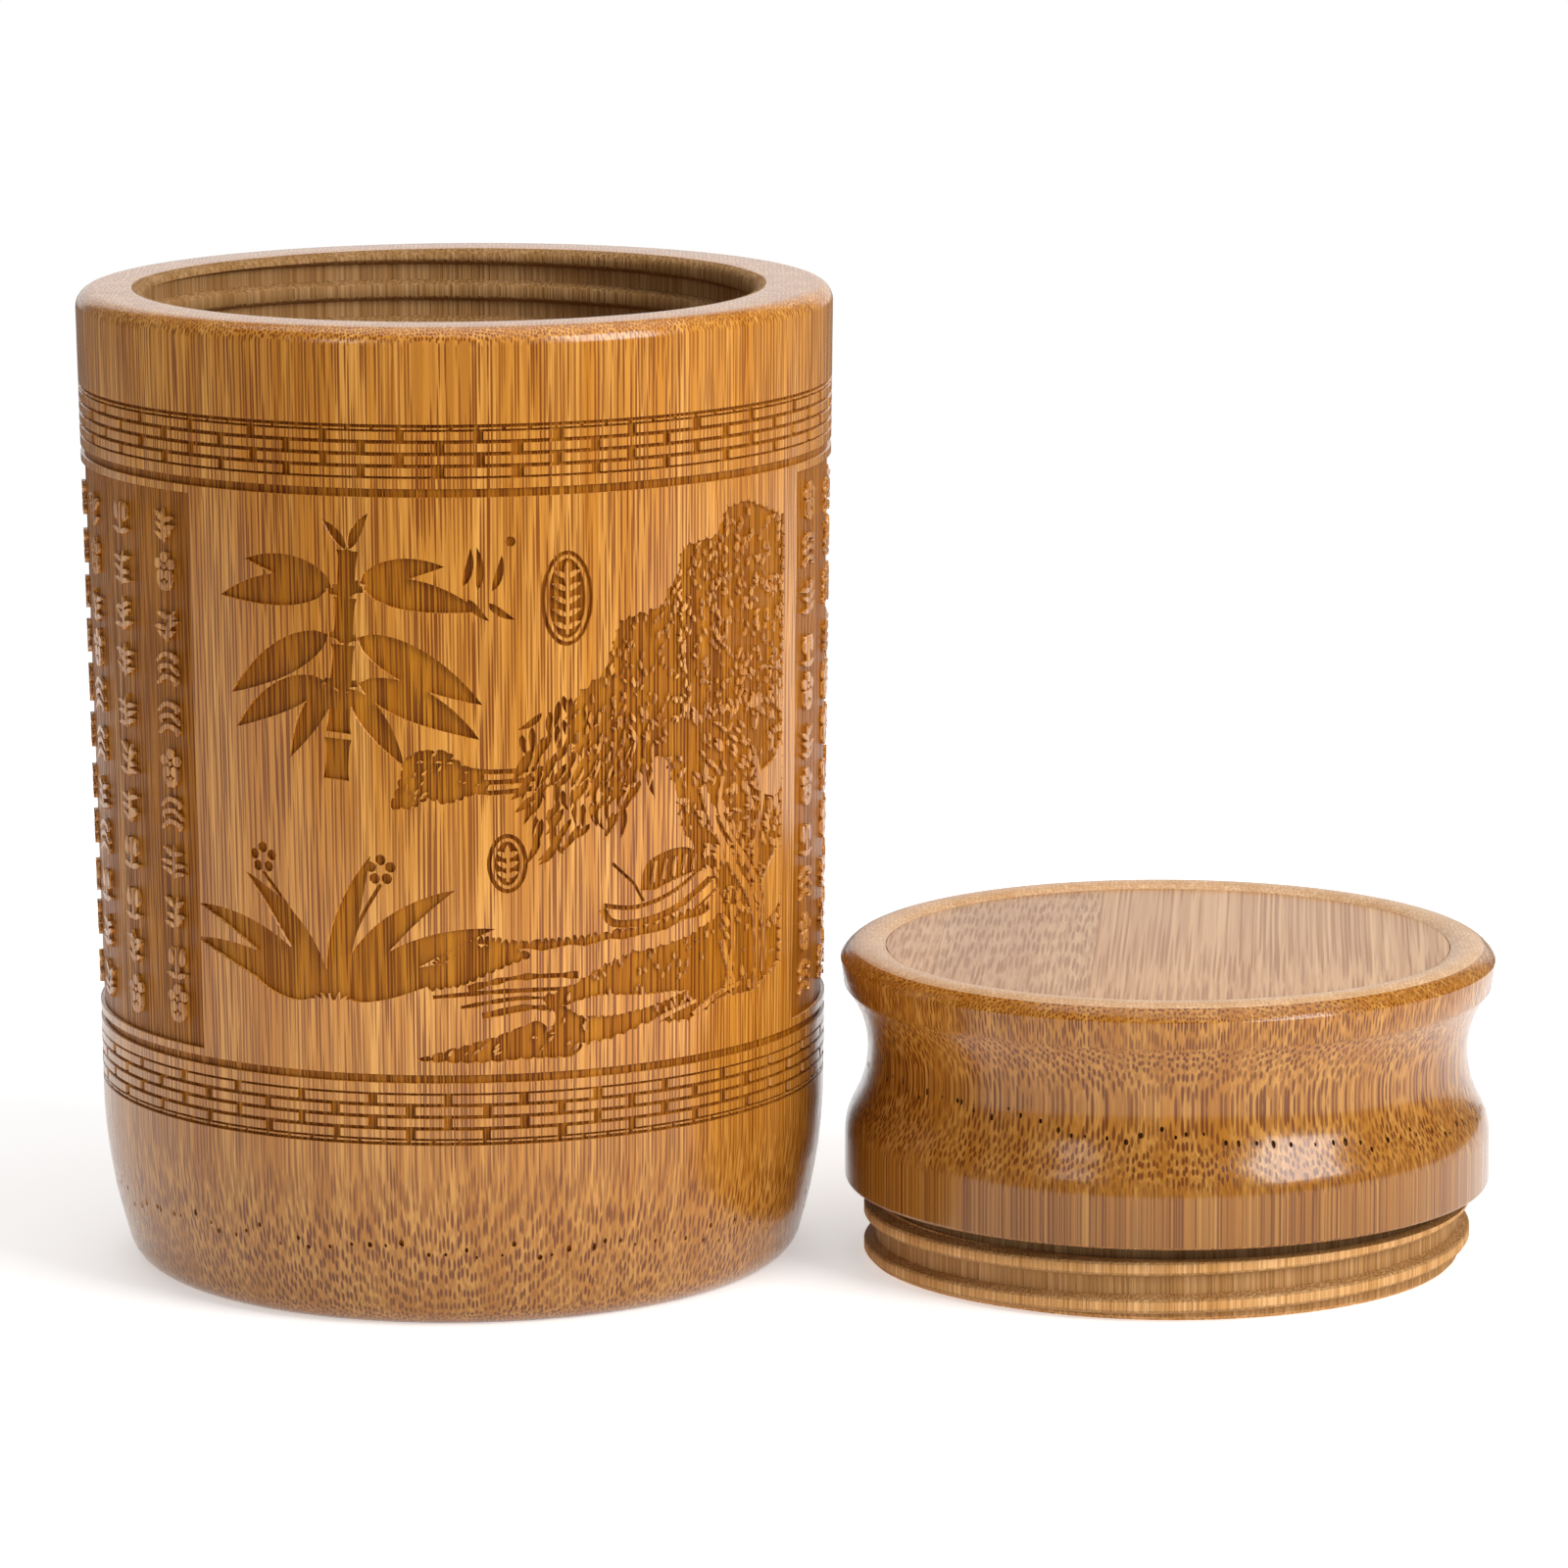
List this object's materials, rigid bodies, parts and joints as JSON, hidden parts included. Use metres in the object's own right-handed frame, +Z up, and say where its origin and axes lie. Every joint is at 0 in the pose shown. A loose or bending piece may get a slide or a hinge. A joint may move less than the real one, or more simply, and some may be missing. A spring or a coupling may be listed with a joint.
{
  "type": "bamboo brush pot with screw lid",
  "caption": "Round turned bamboo pot with engraved brick bands and a threaded mouth, and its waisted screw lid standing beside it.",
  "frame": {"origin": "centre of the pot's flat underside, on the table", "axes": "+Z up along the pot's axis, +X from the pot towards its lid, -Y towards the viewer of the engraved picture"},
  "size_m": [0.2077, 0.1102, 0.1442],
  "materials": {
    "culm": "gloss varnish on the outside, bare on the threads and in the bore",
    "board": "gloss varnish"
  },
  "bodies": {
    "pot": {"pot_wall": "culm", "base_stave_1": "board", "base_stave_2": "board", "base_stave_3": "board", "base_stave_4": "board", "base_stave_5": "board"},
    "lid": {"lid_ring": "culm", "lid_stave_1": "board", "lid_stave_2": "board", "lid_stave_3": "board", "lid_stave_4": "board", "lid_stave_5": "board"}
  },
  "joints": [
    {"name": "lid_lift", "type": "slide", "parent": "pot", "child": "lid", "axis": [0, 0, 1], "range_m": [0, 0.2]}
  ]
}
